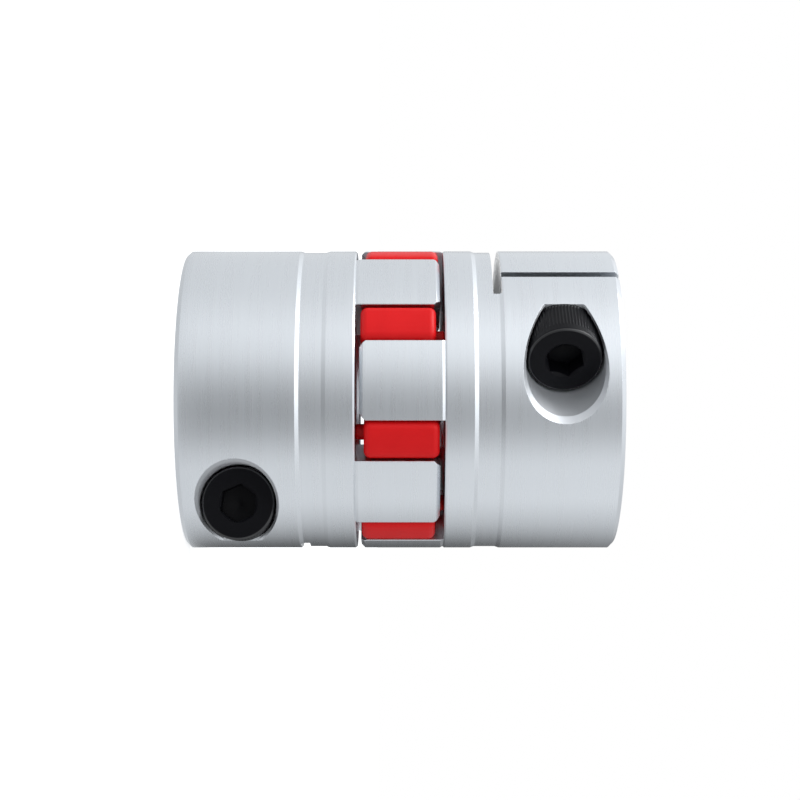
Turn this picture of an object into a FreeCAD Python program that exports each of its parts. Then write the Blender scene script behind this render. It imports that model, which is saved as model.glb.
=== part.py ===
# Jaw coupling for joining two shafts: two clamping hubs whose jaws interlock round an
# elastomer spider, and one socket head clamp screw in each hub.
# Millimetres. The axis is +Z, and the coupling stands on the end face of its lower hub.
# The origin is the centre of that face.
import FreeCAD, Part
import os

import Sketcher
from FreeCAD import Placement, Rotation, Vector

# Each driving dimension: its name, its value and what it measures.
SIZES = [
    ("coupling_length", 78.0, "end face to end face"),
    ("outer_radius", 27.5, "hubs and jaws"),
    ("hub_length", 31.15, "hub body without its jaws"),
    ("jaw_length", 14.9, "jaw beyond the hub body"),
    ("jaw_pitch", 90.0, "degrees between the jaws of one hub"),
    ("jaw_angle", 43.0, "degrees from the clamp slit to the next jaw"),
    ("jaw_inner_radius", 17.4, "inner wall of the jaws"),
    ("jaw_tip_chamfer", 0.65, "round the outside of the jaw tips"),
    ("jaw_corner_chamfer", 0.8, "at the flanks of the jaw tips"),
    ("pocket_width", 7.3, "parallel room for one lobe between two jaws"),
    ("cut_reach", 40.0, "how far the jaw gaps and the slit are cut, past the outside"),
    ("bore_radius", 11.0, "shaft bore"),
    ("bore_chamfer", 0.4, "at the bore's outer mouth"),
    ("end_chamfer", 0.75, "round the outer end face"),
    ("relief_start", 20.8, "turned relief, from the end face"),
    ("relief_end", 26.1, "far side of the relief"),
    ("relief_depth", 0.25, "how deep the relief is"),
    ("relief_slope", 0.7, "length of its sloped shoulders"),
    ("slit_width", 1.6, "axial clamp slit"),
    ("saw_start", 21.0, "cross cut, from the end face"),
    ("saw_width", 1.6, "width of the cross cut"),
    ("saw_radius", 40.0, "slitting saw that makes the cross cut"),
    ("saw_offset", 34.0, "centre of that saw from the axis"),
    ("saw_angle", 69.6, "degrees from the slit to the saw's centre"),
    ("screw_height", 10.35, "clamp screw axis above the end face"),
    ("screw_offset", 19.85, "clamp screw axis from the coupling axis"),
    ("seat_depth", 8.0, "screw head seat from the slit's middle"),
    ("seat_radius", 6.9, "counterbore for the screw head"),
    ("seat_rim", 0.5, "chamfer round the counterbore's mouth"),
    ("clearance_radius", 4.25, "free hole on the head side"),
    ("thread_radius", 4.0, "screw and its tapped hole"),
    ("thread_length", 20.0, "screw below its head"),
    ("thread_point", 0.8, "chamfer at the screw's point"),
    ("head_radius", 6.6, "screw head"),
    ("head_height", 8.0, "screw head"),
    ("head_chamfer", 0.6, "edge round the head's top"),
    ("socket_flats", 6.0, "hexagon socket across its flats"),
    ("socket_depth", 4.0, "hexagon socket"),
    ("socket_mouth", 0.5, "countersink at the hexagon's mouth"),
    ("ring_hole_radius", 13.5, "hole through the spider"),
    ("ring_radius", 17.1, "outside of the spider's ring"),
    ("ring_half", 5.5, "half the ring's length"),
    ("lobe_length", 13.2, "lobe along the axis"),
    ("lobe_shift", 0.3, "lobes sit nearer one hub by turns"),
    ("lobe_radius", 27.7, "tips of the lobes, a little proud of the hubs"),
    ("lobe_root", 15.5, "where a lobe starts inside the ring"),
    ("lobe_end_half", 3.36, "half the lobe's width at its root and its tip"),
    ("lobe_crown", 62.0, "radius of the crowned flanks"),
    ("lobe_chamfer", 0.7, "edges of the lobes"),
    ("pip_radius", 1.4, "spacer pips on the lobes"),
    ("pip_place", 21.5, "spacer pips from the axis"),
    ("lower_screw_turn", -7.0, "degrees that the lower screw's hexagon is turned"),
    ("upper_screw_turn", 12.0, "degrees that the upper screw's hexagon is turned"),
]

doc = FreeCAD.newDocument("jaw_coupling")
sheet = doc.addObject("Spreadsheet::Sheet", "sizes")
for row, (alias, number, meaning) in enumerate(SIZES, 1):
    sheet.set(f"A{row}", meaning)
    sheet.set(f"B{row}", str(number))
    sheet.setAlias(f"B{row}", alias)
doc.recompute()


def value(expression):
    """Number that an expression on the sheet comes to."""
    return float(sheet.evalExpression(expression))


def new_body(label):
    """Empty body of one sub-part."""
    body = doc.addObject("PartDesign::Body", label)
    body.Label = label
    return body


def origin_item(body, role):
    """Plane or axis of a body's own origin."""
    return next(item for item in body.Origin.OriginFeatures if item.Role == role)


def new_sketch(body, name, plane, height="0", turn="0"):
    """Sketch on an origin plane, moved along the plane's normal and turned about it."""
    sketch = body.newObject("Sketcher::SketchObject", name)
    sketch.AttachmentSupport = [(origin_item(body, plane), "")]
    sketch.MapMode = "FlatFace"
    spin = Rotation(Vector(0, 0, 1), value(turn))
    sketch.AttachmentOffset = Placement(Vector(0, 0, value(height)), spin)
    sketch.setExpression("AttachmentOffset.Base.z", height)
    return sketch


def pin(sketch, edge, end, x, y):
    """Hold one point of a sketch where two expressions put it."""
    for kind, expression in (("DistanceX", x), ("DistanceY", y)):
        rule = Sketcher.Constraint(kind, -1, 1, edge, end, value(expression))
        number = sketch.addConstraint(rule)
        sketch.setExpression(f"Constraints[{number}]", expression)


def set_radius(sketch, edge, expression):
    """Bind the radius of a circle or an arc."""
    number = sketch.addConstraint(Sketcher.Constraint("Radius", edge, value(expression)))
    sketch.setExpression(f"Constraints[{number}]", expression)


def draw_outline(sketch, corners):
    """Closed outline of straight edges through corners given as pairs of expressions."""
    points = [Vector(value(x), value(y), 0) for x, y in corners]
    following = points[1:] + points[:1]
    edges = [sketch.addGeometry(Part.LineSegment(a, b)) for a, b in zip(points, following)]
    for edge, (x, y) in zip(edges, corners):
        sketch.addConstraint(Sketcher.Constraint("Coincident", edges[edge - 1], 2, edge, 1))
        pin(sketch, edge, 1, x, y)


def draw_circle(sketch, x, y, radius):
    """Circle with its centre and radius bound to the sheet."""
    centre = Vector(value(x), value(y), 0)
    edge = sketch.addGeometry(Part.Circle(centre, Vector(0, 0, 1), value(radius)))
    pin(sketch, edge, 3, x, y)
    set_radius(sketch, edge, radius)


def revolve(body, name, corners, kind="Revolution"):
    """Full turn of an outline about the body's Z axis."""
    sketch = new_sketch(body, f"{name}_profile", "XZ_Plane")
    draw_outline(sketch, corners)
    item = body.newObject(f"PartDesign::{kind}", name)
    item.Profile = sketch
    item.ReferenceAxis = (sketch, ["V_Axis"])
    item.Angle = 360.0
    return item


def extrude(body, name, sketch, length=None, kind="Pocket", along_normal=False):
    """Pad or pocket of a sketch. Without a length it runs through everything."""
    item = body.newObject(f"PartDesign::{kind}", name)
    item.Profile = sketch
    item.Reversed = (kind == "Pocket") == along_normal
    if length is None:
        item.Type = "ThroughAll"
    else:
        item.Length = value(length)
        item.setExpression("Length", length)
    return item


def repeat_round(body, name, original):
    """Copies of a feature about the axis, one for each jaw of a hub."""
    doc.recompute()
    pattern = body.newObject("PartDesign::PolarPattern", name)
    pattern.Originals = [original]
    pattern.Axis = (origin_item(body, "Z_Axis"), [""])
    pattern.Angle = 360.0
    pattern.setExpression("Occurrences", "360 / sizes.jaw_pitch")
    body.Tip = pattern
    doc.recompute()
    return pattern


def chamfer(body, name, base, test, size):
    """Chamfer along the edges of a feature that pass a test."""
    doc.recompute()
    edges = [f"Edge{i}" for i, edge in enumerate(base.Shape.Edges, 1) if test(edge)]
    item = body.newObject("PartDesign::Chamfer", name)
    item.Base = (base, edges)
    item.setExpression("Size", size)
    doc.recompute()
    return item


def make_hub(label):
    """Clamping hub with its end face at z 0, its slit towards +X and its screw head at -Y."""
    body = new_body(label)
    tip = "sizes.hub_length + sizes.jaw_length"
    groove = "sizes.outer_radius - sizes.relief_depth"
    jaw_bevel = "sizes.jaw_corner_chamfer / 2"
    revolve(body, "turned_blank", [
        ("sizes.bore_radius", "sizes.bore_chamfer"),
        ("sizes.bore_radius + sizes.bore_chamfer", "0"),
        ("sizes.outer_radius - sizes.end_chamfer", "0"),
        ("sizes.outer_radius", "sizes.end_chamfer"),
        ("sizes.outer_radius", "sizes.relief_start"),
        (groove, "sizes.relief_start + sizes.relief_slope"),
        (groove, "sizes.relief_end - sizes.relief_slope"),
        ("sizes.outer_radius", "sizes.relief_end"),
        ("sizes.outer_radius", f"{tip} - sizes.jaw_tip_chamfer"),
        ("sizes.outer_radius - sizes.jaw_tip_chamfer", tip),
        (f"sizes.jaw_inner_radius + {jaw_bevel}", tip),
        ("sizes.jaw_inner_radius", f"{tip} - {jaw_bevel}"),
        ("sizes.jaw_inner_radius", "sizes.hub_length"),
        ("sizes.bore_radius", "sizes.hub_length"),
    ])

    # The gap between two jaws is a wedge. Its sides stand half a lobe pocket off the planes
    # of the two lobes in it, which leaves parallel pockets once the other hub's jaw is in.
    gap = new_sketch(body, "jaw_gap_profile", "XY_Plane", tip, "sizes.jaw_angle + sizes.jaw_pitch / 2")
    apex = "sizes.pocket_width / 2 / sin(sizes.jaw_pitch / 4 * 1deg)"
    half_open = f"(sizes.cut_reach + {apex}) * tan(sizes.jaw_pitch / 4 * 1deg)"
    draw_outline(gap, [
        (f"-{apex}", "0"),
        ("sizes.cut_reach", f"-{half_open}"),
        ("sizes.cut_reach", half_open),
    ])
    jaws = repeat_round(body, "jaw_gaps", extrude(body, "jaw_gap", gap, "sizes.jaw_length"))
    tip_level = value(tip)

    def on_tip(edge):
        """Straight edge between a jaw's tip and one of its flanks."""
        is_high = min(vertex.Point.z for vertex in edge.Vertexes) > tip_level - 0.01
        return is_high and edge.Curve.TypeId == "Part::GeomLine"

    chamfer(body, "jaw_corners", jaws, on_tip, "sizes.jaw_corner_chamfer")

    # Clamp screw: counterbore, free hole up to the slit, tapped hole behind it.
    seat = new_sketch(body, "seat_circle", "XZ_Plane", "sizes.seat_depth")
    draw_circle(seat, "sizes.screw_offset", "sizes.screw_height", "sizes.seat_radius")
    counterbore = extrude(body, "counterbore", seat, along_normal=True)
    seat_radius = value("sizes.seat_radius")
    outer_radius = value("sizes.outer_radius")
    middle = Vector(value("sizes.screw_offset"), 0, value("sizes.screw_height"))

    def on_rim(edge):
        """Edge where the counterbore's wall comes out of the hub's outside."""
        for place in (0.1, 0.5, 0.9):
            first, last = edge.ParameterRange
            point = edge.valueAt(first + place * (last - first))
            to_screw = (Vector(point.x, 0, point.z) - middle).Length
            to_axis = Vector(point.x, point.y, 0).Length
            if abs(to_screw - seat_radius) > 0.01 or abs(to_axis - outer_radius) > 0.01:
                return False
        return True

    chamfer(body, "counterbore_rim", counterbore, on_rim, "sizes.seat_rim")
    free_hole = new_sketch(body, "free_hole_circle", "XZ_Plane", "sizes.seat_depth")
    draw_circle(free_hole, "sizes.screw_offset", "sizes.screw_height", "sizes.clearance_radius")
    extrude(body, "free_hole", free_hole, "sizes.seat_depth")
    tapping = new_sketch(body, "tapped_hole_circle", "XZ_Plane")
    draw_circle(tapping, "sizes.screw_offset", "sizes.screw_height", "sizes.thread_radius")
    extrude(body, "tapped_hole", tapping)

    # The slit opens the bore to +X. The cross cut frees only the tapped side of the clamp.
    slit = new_sketch(body, "slit_profile", "XY_Plane")
    draw_outline(slit, [
        ("0", "-sizes.slit_width / 2"),
        ("sizes.cut_reach", "-sizes.slit_width / 2"),
        ("sizes.cut_reach", "sizes.slit_width / 2"),
        ("0", "sizes.slit_width / 2"),
    ])
    extrude(body, "clamp_slit", slit, "sizes.saw_start + sizes.saw_width", along_normal=True)
    saw = new_sketch(body, "saw_circle", "XY_Plane", "sizes.saw_start", "sizes.saw_angle")
    draw_circle(saw, "sizes.saw_offset", "0", "sizes.saw_radius")
    extrude(body, "cross_cut", saw, "sizes.saw_width", along_normal=True)
    return body


def lobe_turn(side):
    """Angle of the first lobe of a side. Lobes stand midway between the jaws of the two hubs."""
    return f"sizes.jaw_angle - {side} * sizes.jaw_pitch / 4"


def make_lobes(body, name, side):
    """Four lobes a quarter turn apart. A side of 1 sits nearer the upper hub, -1 the lower."""
    bottom = f"{side} * sizes.lobe_shift - sizes.lobe_length / 2"
    sketch = new_sketch(body, f"{name}_profile", "XY_Plane", bottom, lobe_turn(side))
    root = "sizes.lobe_root"
    half = "sizes.lobe_end_half"
    shoulder = "sqrt(sizes.lobe_radius ^ 2 - sizes.lobe_end_half ^ 2)"

    # A flat arc rises over its chord by the chord squared over eight radii.
    chord = value(shoulder) - value(root)
    crown = value(half) + chord ** 2 / (8 * value("sizes.lobe_crown"))
    waist = (value(root) + value(shoulder)) / 2
    corners = [(root, f"-{half}"), (shoulder, f"-{half}"), (shoulder, half), (root, half)]
    points = [Vector(value(x), value(y), 0) for x, y in corners]
    right = sketch.addGeometry(Part.Arc(points[0], Vector(waist, -crown, 0), points[1]))
    end = sketch.addGeometry(Part.Arc(points[1], Vector(value("sizes.lobe_radius"), 0, 0), points[2]))
    left = sketch.addGeometry(Part.Arc(points[2], Vector(waist, crown, 0), points[3]))
    back = sketch.addGeometry(Part.LineSegment(points[3], points[0]))
    for arc, radius in ((right, "sizes.lobe_crown"), (end, "sizes.lobe_radius"), (left, "sizes.lobe_crown")):
        set_radius(sketch, arc, radius)
    loop = (right, end, left, back)
    for edge, (x, y) in zip(loop, corners):
        sketch.addConstraint(Sketcher.Constraint("Coincident", loop[loop.index(edge) - 1], 2, edge, 1))
        pin(sketch, edge, 1, x, y)
    pad = extrude(body, name, sketch, "sizes.lobe_length", "Pad", along_normal=True)
    return repeat_round(body, f"{name}_round", pad)


def make_pips(body, name, side):
    """Spacer pips on the lobes of a side, at the end that stands farther from its hub."""
    face = f"{side} * (sizes.lobe_shift - sizes.lobe_length / 2)"
    sketch = new_sketch(body, f"{name}_circle", "XY_Plane", face, lobe_turn(side))
    draw_circle(sketch, "sizes.pip_place", "0", "sizes.pip_radius")
    height = "sizes.coupling_length / 2 - sizes.hub_length + sizes.lobe_shift - sizes.lobe_length / 2"
    pad = extrude(body, name, sketch, height, "Pad", along_normal=side < 0)
    return repeat_round(body, f"{name}_round", pad)


def make_spider(label):
    """Elastomer spider with its middle plane at z 0, turned to suit the jaws of the lower hub."""
    body = new_body(label)
    revolve(body, "ring", [
        ("sizes.ring_hole_radius", "-sizes.ring_half"),
        ("sizes.ring_radius", "-sizes.ring_half"),
        ("sizes.ring_radius", "sizes.ring_half"),
        ("sizes.ring_hole_radius", "sizes.ring_half"),
    ])
    make_lobes(body, "upper_lobes", 1)
    lobes = make_lobes(body, "lower_lobes", -1)
    ring_radius = value("sizes.ring_radius")

    def on_lobe(edge):
        """Edge that belongs to a lobe alone and not to the ring or their joint."""
        ends = [Vector(vertex.Point.x, vertex.Point.y, 0).Length for vertex in edge.Vertexes]
        return max(ends) > ring_radius + 1.0

    chamfer(body, "lobe_edges", lobes, on_lobe, "sizes.lobe_chamfer")
    make_pips(body, "upper_lobe_pips", 1)
    make_pips(body, "lower_lobe_pips", -1)
    return body


def make_screw(label):
    """Socket head cap screw with its head above z 0 and its thread below it."""
    body = new_body(label)
    revolve(body, "blank", [
        ("0", "-sizes.thread_length"),
        ("sizes.thread_radius - sizes.thread_point", "-sizes.thread_length"),
        ("sizes.thread_radius", "sizes.thread_point - sizes.thread_length"),
        ("sizes.thread_radius", "0"),
        ("sizes.head_radius", "0"),
        ("sizes.head_radius", "sizes.head_height - sizes.head_chamfer"),
        ("sizes.head_radius - sizes.head_chamfer", "sizes.head_height"),
        ("0", "sizes.head_height"),
    ])
    revolve(body, "countersink", [
        ("0", "sizes.head_height - sizes.socket_mouth"),
        ("sizes.socket_flats / 2", "sizes.head_height - sizes.socket_mouth"),
        ("sizes.socket_flats / 2 + sizes.socket_mouth", "sizes.head_height"),
        ("0", "sizes.head_height"),
    ], "Groove")
    hexagon = new_sketch(body, "hexagon", "XY_Plane", "sizes.head_height")
    draw_outline(hexagon, [
        (f"sizes.socket_flats / sqrt(3) * cos({60 * corner}deg)",
         f"sizes.socket_flats / sqrt(3) * sin({60 * corner}deg)")
        for corner in range(6)
    ])
    extrude(body, "socket", hexagon, "sizes.socket_depth")
    return body


# The upper hub is turned end for end, and then about the axis by as much as brings its jaws
# midway between the lower ones: twice the jaw angle less two and a half pitches.
lower_frame = Placement()
end_for_end = Rotation(Vector(1, 0, 0), 180)
upper_turn = Rotation(Vector(0, 0, 1), value("2 * sizes.jaw_angle - 2.5 * sizes.jaw_pitch"))
upper_frame = Placement(Vector(0, 0, value("sizes.coupling_length")), upper_turn.multiply(end_for_end))

# A clamp screw is placed in its hub's own frame first.
seat_point = Vector(value("sizes.screw_offset"), -value("sizes.seat_depth"), value("sizes.screw_height"))
screw_seat = Placement(seat_point, Rotation(Vector(1, 0, 0), 90))


def screw_frame(hub_frame, turn):
    """Place of a clamp screw whose hexagon is turned about its own axis."""
    spin = Placement(Vector(0, 0, 0), Rotation(Vector(0, 0, 1), value(turn)))
    return hub_frame.multiply(screw_seat).multiply(spin)


parts = {
    make_hub("lower_hub"): lower_frame,
    make_hub("upper_hub"): upper_frame,
    make_spider("spider"): Placement(Vector(0, 0, value("sizes.coupling_length / 2")), Rotation()),
    make_screw("lower_clamp_screw"): screw_frame(lower_frame, "sizes.lower_screw_turn"),
    make_screw("upper_clamp_screw"): screw_frame(upper_frame, "sizes.upper_screw_turn"),
}
for body, placement in parts.items():
    body.Placement = placement
doc.recompute()

# Nothing is written unless every feature worked and every cut took something away.
for item in doc.Objects:
    if "Invalid" in item.State or "Error" in item.State:
        raise RuntimeError(f"{item.Label} failed: {item.State}")
for body in parts:
    if body.Shape.isNull() or not body.Shape.isValid() or len(body.Shape.Solids) != 1:
        raise RuntimeError(f"{body.Label} is not one valid solid")
    for item in body.Group:
        is_cut = item.TypeId in ("PartDesign::Pocket", "PartDesign::Groove")
        if is_cut and item.Shape.Volume > item.BaseFeature.Shape.Volume - 0.1:
            raise RuntimeError(f"{item.Label} of {body.Label} cuts nothing")

os.makedirs("parts", exist_ok=True)
for body in parts:
    body.Shape.exportStep(f"parts/{body.Label}.step")
    box = body.Shape.BoundBox
    print(f"{body.Label}: {body.Shape.Volume:.0f} mm3, z {box.ZMin:.2f} to {box.ZMax:.2f}")
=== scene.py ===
"""Dresses a packed jaw coupling: two turned clamping hubs, a moulded spider, two clamp screws.

Each piece is worked out in millimetres in the frame of its own part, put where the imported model
has that part, and stored in metres. The coupling's axis is Z and it stands on its lower hub.
"""

from __future__ import annotations

import logging
import math
from dataclasses import dataclass
from enum import Enum
from functools import cached_property
from typing import Sequence

import bmesh
import bpy
import numpy as np
from mathutils import Matrix, Vector

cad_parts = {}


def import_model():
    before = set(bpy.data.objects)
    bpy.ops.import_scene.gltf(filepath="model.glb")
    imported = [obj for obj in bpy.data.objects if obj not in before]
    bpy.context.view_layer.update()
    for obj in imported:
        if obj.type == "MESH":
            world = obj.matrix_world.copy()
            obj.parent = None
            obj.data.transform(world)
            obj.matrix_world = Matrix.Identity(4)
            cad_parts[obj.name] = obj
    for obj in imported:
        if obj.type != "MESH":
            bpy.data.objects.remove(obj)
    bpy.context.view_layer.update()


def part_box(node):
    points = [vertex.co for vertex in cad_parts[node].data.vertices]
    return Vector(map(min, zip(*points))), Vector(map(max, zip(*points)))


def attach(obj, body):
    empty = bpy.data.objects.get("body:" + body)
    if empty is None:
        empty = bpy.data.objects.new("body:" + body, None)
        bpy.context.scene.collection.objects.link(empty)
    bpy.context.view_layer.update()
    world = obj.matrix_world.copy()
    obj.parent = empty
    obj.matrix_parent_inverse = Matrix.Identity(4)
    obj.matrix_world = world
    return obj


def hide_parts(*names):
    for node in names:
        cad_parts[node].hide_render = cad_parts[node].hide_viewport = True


LOG = logging.getLogger("coupling")
MM = 0.001
CLEAR = 1.0  # millimetres that a tool reaches past what it cuts
UP = Vector((0.0, 0.0, 1.0))

Piece = bpy.types.Object
Colour = tuple[float, float, float]
Sizes = tuple[float, float, float]


class Joinery(Enum):
    """What one solid does to another."""

    CUT = "DIFFERENCE"
    WELD = "UNION"


class Machining(Enum):
    """How a face of a hub was made. The value is its place in the hub's list of materials."""

    TURNED = 0
    MILLED = 1
    SAWN = 2
    BORED = 3


class Signal:
    """A value, colour or vector in a shader. On values the usual operators add Math nodes."""

    def __init__(self, shader: Shader, socket: bpy.types.NodeSocket) -> None:
        """Keep a socket and the shader that it belongs to."""
        self.shader = shader
        self.socket = socket

    def _math(self, operation: str, *terms: Signal | float) -> Signal:
        """Add a Math node for these terms."""
        inputs = dict(enumerate(terms))
        return self.shader.node("Math", inputs, operation=operation)

    def __add__(self, other: Signal | float) -> Signal:
        """Sum."""
        return self._math("ADD", self, other)

    def __sub__(self, other: Signal | float) -> Signal:
        """Difference."""
        return self._math("SUBTRACT", self, other)

    def __rsub__(self, other: float) -> Signal:
        """Difference with the number first."""
        return self._math("SUBTRACT", other, self)

    def __mul__(self, other: Signal | float) -> Signal:
        """Product."""
        return self._math("MULTIPLY", self, other)

    def __pow__(self, other: float) -> Signal:
        """Power."""
        return self._math("POWER", self, other)

    def at_least(self, floor: float) -> Signal:
        """This value, or the floor where it is lower."""
        return self._math("MAXIMUM", self, floor)

    def angle_from(self, across: Signal) -> Signal:
        """Angle whose sine is this value and whose cosine is the other, in radians."""
        return self._math("ARCTAN2", self, across)


class Shader:
    """Node tree of one material or of the world."""

    def __init__(self, owner: bpy.types.Material | bpy.types.World) -> None:
        """Start the owner's tree again with nothing in it."""
        owner.use_nodes = True
        self.tree = owner.node_tree
        self.tree.nodes.clear()

    def node(
        self,
        kind: str,
        inputs: dict[str | int, object] | None = None,
        output: str | int = 0,
        **settings: object,
    ) -> Signal:
        """Add a node, set it up and feed it.

        Args:
            kind: Blender's name for the node type, without its prefix.
            inputs: socket name or number, and the value or signal that it gets.
            output: socket that the result is read from.
            **settings: the node's own properties, set before its sockets are fed. The stops of a
                ramp are pairs of place and level.

        Returns:
            The chosen output.
        """
        node = self.tree.nodes.new("ShaderNode" + kind)
        for key, value in settings.items():
            if key == "stops":
                self._set_stops(node.color_ramp, value)
            else:
                setattr(node, key, value)
        for key, value in (inputs or {}).items():
            if isinstance(value, Signal):
                self.tree.links.new(value.socket, node.inputs[key])
            else:
                node.inputs[key].default_value = value
        return Signal(self, node.outputs[output] if node.outputs else None)

    @staticmethod
    def _set_stops(ramp: bpy.types.ColorRamp, stops: Sequence[tuple[float, float]]) -> None:
        """Give a ramp its stops."""
        while len(ramp.elements) < len(stops):
            ramp.elements.new(1.0)
        for element, (place, level) in zip(ramp.elements, stops):
            element.position = place
            element.color = (level, level, level, 1.0)

    @cached_property
    def place(self) -> tuple[Signal, Signal, Signal]:
        """Object coordinates as three values, in millimetres."""
        feed = {"Vector": self.node("TexCoord", output="Object")}
        parts = (self.node("SeparateXYZ", feed, axis) for axis in range(3))
        return tuple(part * (1 / MM) for part in parts)

    def noise(
        self, sizes_mm: Sizes, detail: float, roughness: float, shift: Signal | float = 0.0
    ) -> Signal:
        """Noise of about 0 to 1.

        Args:
            sizes_mm: size of its features along each axis.
            detail: octaves.
            roughness: weight of the finer octaves.
            shift: added to the height before it is scaled.

        Returns:
            The noise.
        """
        x, y, z = self.place
        pairs = enumerate(zip((x, y, z + shift), sizes_mm))
        scaled = {axis: value * (1 / size) for axis, (value, size) in pairs}
        feed = {"Vector": self.node("CombineXYZ", scaled)}
        feed |= {"Scale": 1.0, "Detail": detail, "Roughness": roughness}
        return self.node("TexNoise", feed)

    def grain(self, size_mm: float, detail: float = 3.0, roughness: float = 0.6) -> Signal:
        """Noise that is as fine along every axis."""
        return self.noise((size_mm,) * 3, detail, roughness)

    def clouds(self, size_mm: float) -> Signal:
        """Softer noise along every axis."""
        return self.grain(size_mm, 2.0, 0.5)

    def tint(self, amount: Signal, low: Colour, high: Colour) -> Signal:
        """Colour between two others. A Mix node's colour sockets are the factor, 6 and 7."""
        feed = {0: amount, 6: (*low, 1.0), 7: (*high, 1.0)}
        return self.node("Mix", feed, 2, data_type="RGBA")

    def bump(self, height: Signal, depth_mm: float, edge_mm: float) -> Signal:
        """Normal of a relief with softened edges.

        Args:
            height: relief from 0 to 1.
            depth_mm: depth of the relief.
            edge_mm: radius that sharp edges are softened to.

        Returns:
            The normal.
        """
        soft = self.node("Bevel", {"Radius": edge_mm * MM}, samples=4)
        feed = {"Strength": 1.0, "Distance": depth_mm * MM, "Height": height, "Normal": soft}
        return self.node("Bump", feed)


@dataclass(frozen=True)
class Finish:
    """A finish that a surface can be given: a colour between two others, with a fine relief."""

    name: str
    dark: Colour
    light: Colour
    roughness: float
    roughness_spread: float
    relief_mm: float
    edge_mm: float

    def paint(self, shader: Shader) -> None:
        """Build the surface in a shader."""
        raise NotImplementedError

    def cover(
        self, shader: Shader, tone: Signal, rough: Signal, relief: Signal, more: dict[str, float]
    ) -> None:
        """Finish a material with one principled surface.

        Args:
            shader: the material's shader.
            tone: place between the dark colour and the light one.
            rough: share of the spread that the roughness gets.
            relief: height from 0 to 1.
            more: further inputs of the surface.
        """
        skin = shader.node("BsdfPrincipled", {
            "Base Color": shader.tint(tone, self.dark, self.light),
            "Roughness": rough * self.roughness_spread + self.roughness,
            "Normal": shader.bump(relief, self.relief_mm, self.edge_mm),
            **more,
        })
        shader.node("OutputMaterial", {"Surface": skin})

    def material(self) -> bpy.types.Material:
        """Material with this finish."""
        made = bpy.data.materials.get(self.name)
        if made is None:
            made = bpy.data.materials.new(self.name)
            self.paint(Shader(made))
        return made


@dataclass(frozen=True)
class TurnedAluminium(Finish):
    """Satin aluminium from the lathe, with fine tool marks round the axis."""

    name: str = "turned_aluminium"
    dark: Colour = (0.745, 0.772, 0.805)
    light: Colour = (0.80, 0.828, 0.862)
    roughness: float = 0.28
    roughness_spread: float = 0.06
    relief_mm: float = 0.0022
    edge_mm: float = 0.10
    marks_mm: Sizes = (9.0, 9.0, 0.16)
    bands_mm: Sizes = (30.0, 30.0, 1.1)
    band_share: float = 0.6
    anisotropy: float = 0.5
    grain_turn: float = 0.25

    def paint(self, shader: Shader) -> None:
        """Marks run with height on the outside and with radius on the end faces."""
        x, y, _ = shader.place
        outward = (x * x + y * y) ** 0.5
        marks = shader.noise(self.marks_mm, 3.0, 0.6, outward)
        bands = shader.noise(self.bands_mm, 2.0, 0.5, outward)
        tone = bands * self.band_share + marks * (1 - self.band_share)
        self.cover(shader, tone, bands + marks - 1.0, marks, {
            "Metallic": 1.0,
            "Anisotropic": self.anisotropy,
            "Anisotropic Rotation": self.grain_turn,
        })


@dataclass(frozen=True)
class MilledAluminium(Finish):
    """Aluminium from the milling cutter: jaw flanks, screw holes and the slit."""

    name: str = "milled_aluminium"
    dark: Colour = (0.71, 0.735, 0.765)
    light: Colour = (0.79, 0.815, 0.85)
    roughness: float = 0.24
    roughness_spread: float = 0.10
    relief_mm: float = 0.002
    edge_mm: float = 0.12
    marks_mm: Sizes = (4.0, 4.0, 0.3)
    mark_share: float = 0.7
    grain_mm: float = 1 / 6

    def paint(self, shader: Shader) -> None:
        """Fine marks with height, crossed by a softer grain."""
        marks = shader.noise(self.marks_mm, 2.0, 0.5)
        grain = shader.grain(self.grain_mm)
        relief = marks * self.mark_share + grain * (1 - self.mark_share)
        self.cover(shader, grain, grain, relief, {"Metallic": 1.0})


@dataclass(frozen=True)
class BoredAluminium(MilledAluminium):
    """Duller wall of a counterbore, with the cutter's feed marks."""

    name: str = "bored_aluminium"
    dark: Colour = (0.80, 0.82, 0.85)
    light: Colour = (0.88, 0.90, 0.93)
    roughness: float = 0.52
    relief_mm: float = 0.006


@dataclass(frozen=True)
class SawnAluminium(Finish):
    """Torn, matt aluminium as a slitting saw leaves it."""

    name: str = "sawn_aluminium"
    dark: Colour = (0.42, 0.42, 0.425)
    light: Colour = (1.0, 1.0, 1.0)
    roughness: float = 0.7
    roughness_spread: float = 0.15
    relief_mm: float = 0.09
    edge_mm: float = 0.06
    contrast: float = 3.4
    tone: float = -0.8
    metal: float = 0.3
    tear_mm: float = 0.35
    tear_share: float = 0.8
    grit_mm: float = 0.0875

    def paint(self, shader: Shader) -> None:
        """Coarse tears with fine grit between them."""
        tears = shader.grain(self.tear_mm, 4.0, 0.65)
        grit = shader.clouds(self.grit_mm)
        relief = tears * self.tear_share + grit * (1 - self.tear_share)
        tone = tears * self.contrast + self.tone
        self.cover(shader, tone, grit, relief, {"Metallic": self.metal})


@dataclass(frozen=True, kw_only=True)
class GrainedFinish(Finish):
    """Soft clouds of colour under a fine grain that breaks up the gloss."""

    roughness_spread: float = 0.10
    relief_mm: float = 0.006
    edge_mm: float = 0.10
    gloss: float
    cloud_mm: float
    grain_mm: float
    cloud_share: float = 1.0

    def paint(self, shader: Shader) -> None:
        """Clouds and grain share the colour. The grain alone gives the relief."""
        clouds = shader.clouds(self.cloud_mm)
        grain = shader.grain(self.grain_mm)
        tone = clouds * self.cloud_share + grain * (1 - self.cloud_share)
        self.cover(shader, tone, grain, grain, {"Specular IOR Level": self.gloss})


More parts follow.
